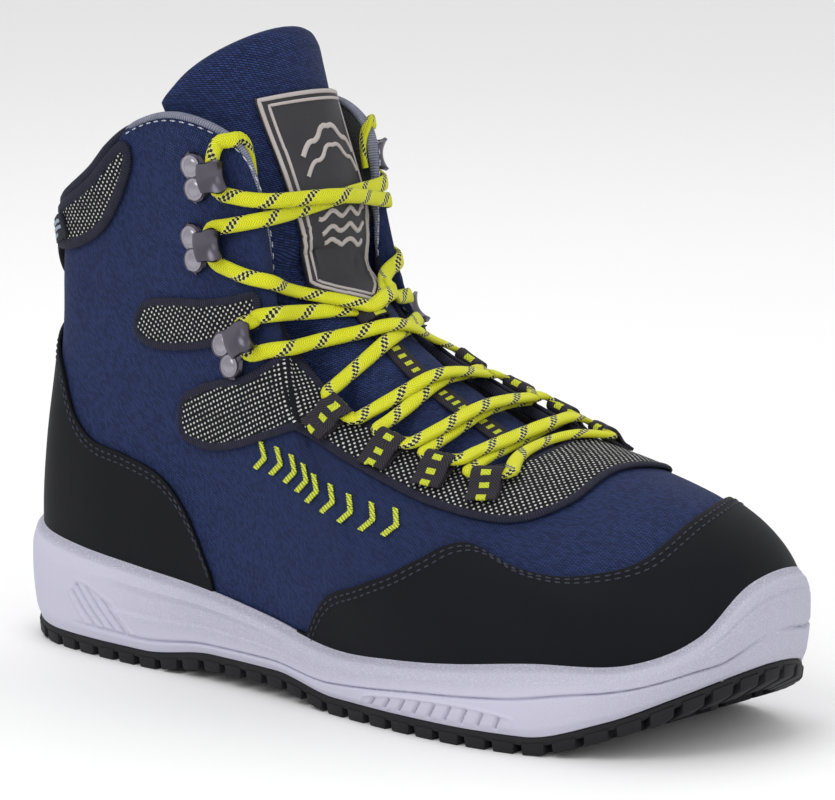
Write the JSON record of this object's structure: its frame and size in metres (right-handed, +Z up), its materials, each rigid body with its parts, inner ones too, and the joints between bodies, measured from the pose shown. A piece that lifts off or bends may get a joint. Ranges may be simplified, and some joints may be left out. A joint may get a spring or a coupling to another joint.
{
  "type": "wading boot",
  "caption": "Laced ankle-high wading boot for the right foot, with a hollow textile upper, rubber toe rand and heel counter, moulded foam midsole and lugged rubber outsole.",
  "frame": {"origin": "on the ground, on the bottom of a heel lug under the middle of the heel", "axes": "+X from heel to toe, +Z up, and the outer side of the foot faces -Y"},
  "size_m": [0.3116, 0.1152, 0.225],
  "materials": {
    "tread_rubber": "matt black rubber",
    "moulded_foam": "pale grey moulded foam, matt",
    "dark_mesh": "dark woven mesh",
    "navy_cloth": "navy woven cloth",
    "black_rubberised": "smooth rubberised sheet, satin",
    "webbing": "black woven tape",
    "badge_rubber": "moulded charcoal rubber",
    "hook_metal": "pewter metal, satin",
    "lace_cord": "yellow woven cord"
  },
  "bodies": {
    "root": {"outsole": "tread_rubber", "midsole": "moulded_foam", "insole": "dark_mesh", "upper": "navy_cloth", "tongue": "navy_cloth", "toe_rand": "black_rubberised", "heel_counter": "black_rubberised", "lace_stay": "dark_mesh", "ankle_band_outer": "dark_mesh", "ankle_band_inner": "dark_mesh", "collar_panel": "dark_mesh", "lace_loop_outer_1": "webbing", "lace_loop_outer_2": "webbing", "lace_loop_outer_3": "webbing", "lace_loop_outer_4": "webbing", "lace_loop_inner_1": "webbing", "lace_loop_inner_2": "webbing", "lace_loop_inner_3": "webbing", "lace_loop_inner_4": "webbing", "hook_outer_1": "hook_metal", "hook_outer_2": "hook_metal", "hook_outer_3": "hook_metal", "hook_inner_1": "hook_metal", "hook_inner_2": "hook_metal", "hook_inner_3": "hook_metal", "pull_loop": "webbing", "side_label": "webbing", "tongue_badge": "badge_rubber", "lace_keeper": "webbing", "lace_bar": "lace_cord", "lace_crossing_2": "lace_cord", "lace_crossing_3": "lace_cord", "lace_crossing_4": "lace_cord", "lace_crossing_5": "lace_cord", "lace_crossing_6": "lace_cord", "lace_crossing_7": "lace_cord"}
  },
  "joints": []
}
